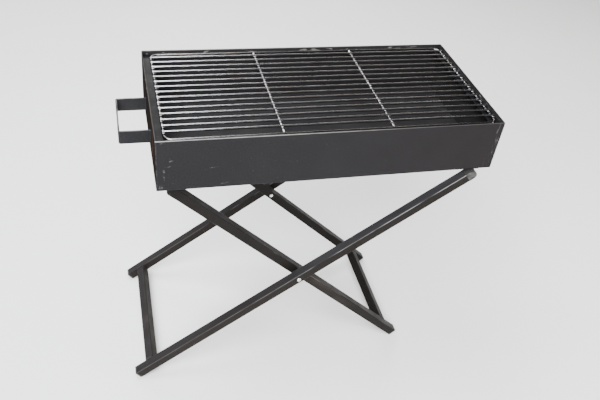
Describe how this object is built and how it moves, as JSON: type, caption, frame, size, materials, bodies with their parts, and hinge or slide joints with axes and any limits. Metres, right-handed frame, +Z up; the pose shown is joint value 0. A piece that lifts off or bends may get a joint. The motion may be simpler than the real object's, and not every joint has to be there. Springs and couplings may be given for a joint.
{
  "type": "folding charcoal grill",
  "caption": "Open steel firebox with a lift-off wire cooking grid and an end handle, on a folding scissor stand of square tube.",
  "frame": {"origin": "on the floor, midway between the leftmost point and the rightmost point, in the middle of the depth", "axes": "+X from the handle end to the plain end, +Y from the front to the rear, +Z up"},
  "size_m": [0.6812, 0.3124, 0.6083],
  "materials": {
    "firebox_paint": "satin black stove paint on sheet steel",
    "bracket_paint": "satin black paint on steel brackets",
    "handle_paint": "satin black paint on flat bar",
    "stand_paint": "satin black paint, worn at the edges",
    "grid_chrome": "bright plated steel wire",
    "bare_steel": "bare rubbed steel",
    "rivet_steel": "zinc plated steel",
    "plug_plastic": "black moulded plastic"
  },
  "bodies": {
    "firebox": {"fire_trough": "firebox_paint", "end_panel_left": "firebox_paint", "end_panel_right": "firebox_paint", "grid_ledge_left": "bracket_paint", "grid_ledge_right": "bracket_paint", "handle_strap": "handle_paint", "hinge_lug_front": "bracket_paint", "hinge_lug_rear": "bracket_paint", "rest_bar": "bracket_paint"},
    "inner_frame": {"inner_leg_front": "stand_paint", "inner_nose_front": "stand_paint", "inner_foot_plug_front": "plug_plastic", "inner_leg_rear": "stand_paint", "inner_nose_rear": "stand_paint", "inner_foot_plug_rear": "plug_plastic", "inner_foot_bar": "stand_paint", "hinge_rod": "rivet_steel"},
    "outer_frame": {"outer_leg_front": "stand_paint", "outer_nose_front": "bare_steel", "outer_foot_plug_front": "plug_plastic", "outer_leg_rear": "stand_paint", "outer_nose_rear": "bare_steel", "outer_foot_plug_rear": "plug_plastic", "outer_foot_bar": "stand_paint", "scissor_rivet_front": "rivet_steel", "spacer_washer_front": "bracket_paint", "scissor_rivet_rear": "rivet_steel", "spacer_washer_rear": "bracket_paint"},
    "cooking_grid": {"grid_frame_wire": "grid_chrome", "grid_cross_bar_left": "grid_chrome", "grid_cross_bar_right": "grid_chrome", "grid_wire_01": "grid_chrome", "grid_wire_02": "grid_chrome", "grid_wire_03": "grid_chrome", "grid_wire_04": "grid_chrome", "grid_wire_05": "grid_chrome", "grid_wire_06": "grid_chrome", "grid_wire_07": "grid_chrome", "grid_wire_08": "grid_chrome", "grid_wire_09": "grid_chrome", "grid_wire_10": "grid_chrome", "grid_wire_11": "grid_chrome", "grid_wire_12": "grid_chrome", "grid_wire_13": "grid_chrome", "grid_wire_14": "grid_chrome", "grid_wire_15": "grid_chrome"}
  },
  "joints": [
    {"name": "stand_fold", "type": "hinge", "parent": "firebox", "child": "inner_frame", "pos_m": [-0.25544, 0, 0.4855], "axis": [0, -1, 0], "range_deg": [0, 43.4]},
    {"name": "scissor", "type": "hinge", "parent": "inner_frame", "child": "outer_frame", "pos_m": [-0.0094, 0, 0.25283], "axis": [0, 1, 0], "range_deg": [0, 80.4]},
    {"name": "grid_lift", "type": "slide", "parent": "firebox", "child": "cooking_grid", "axis": [0, 0, 1], "range_m": [0, 0.15]}
  ],
  "couplings": [
    {"joint": "scissor", "follows": "stand_fold", "ratio": 1.8525}
  ]
}
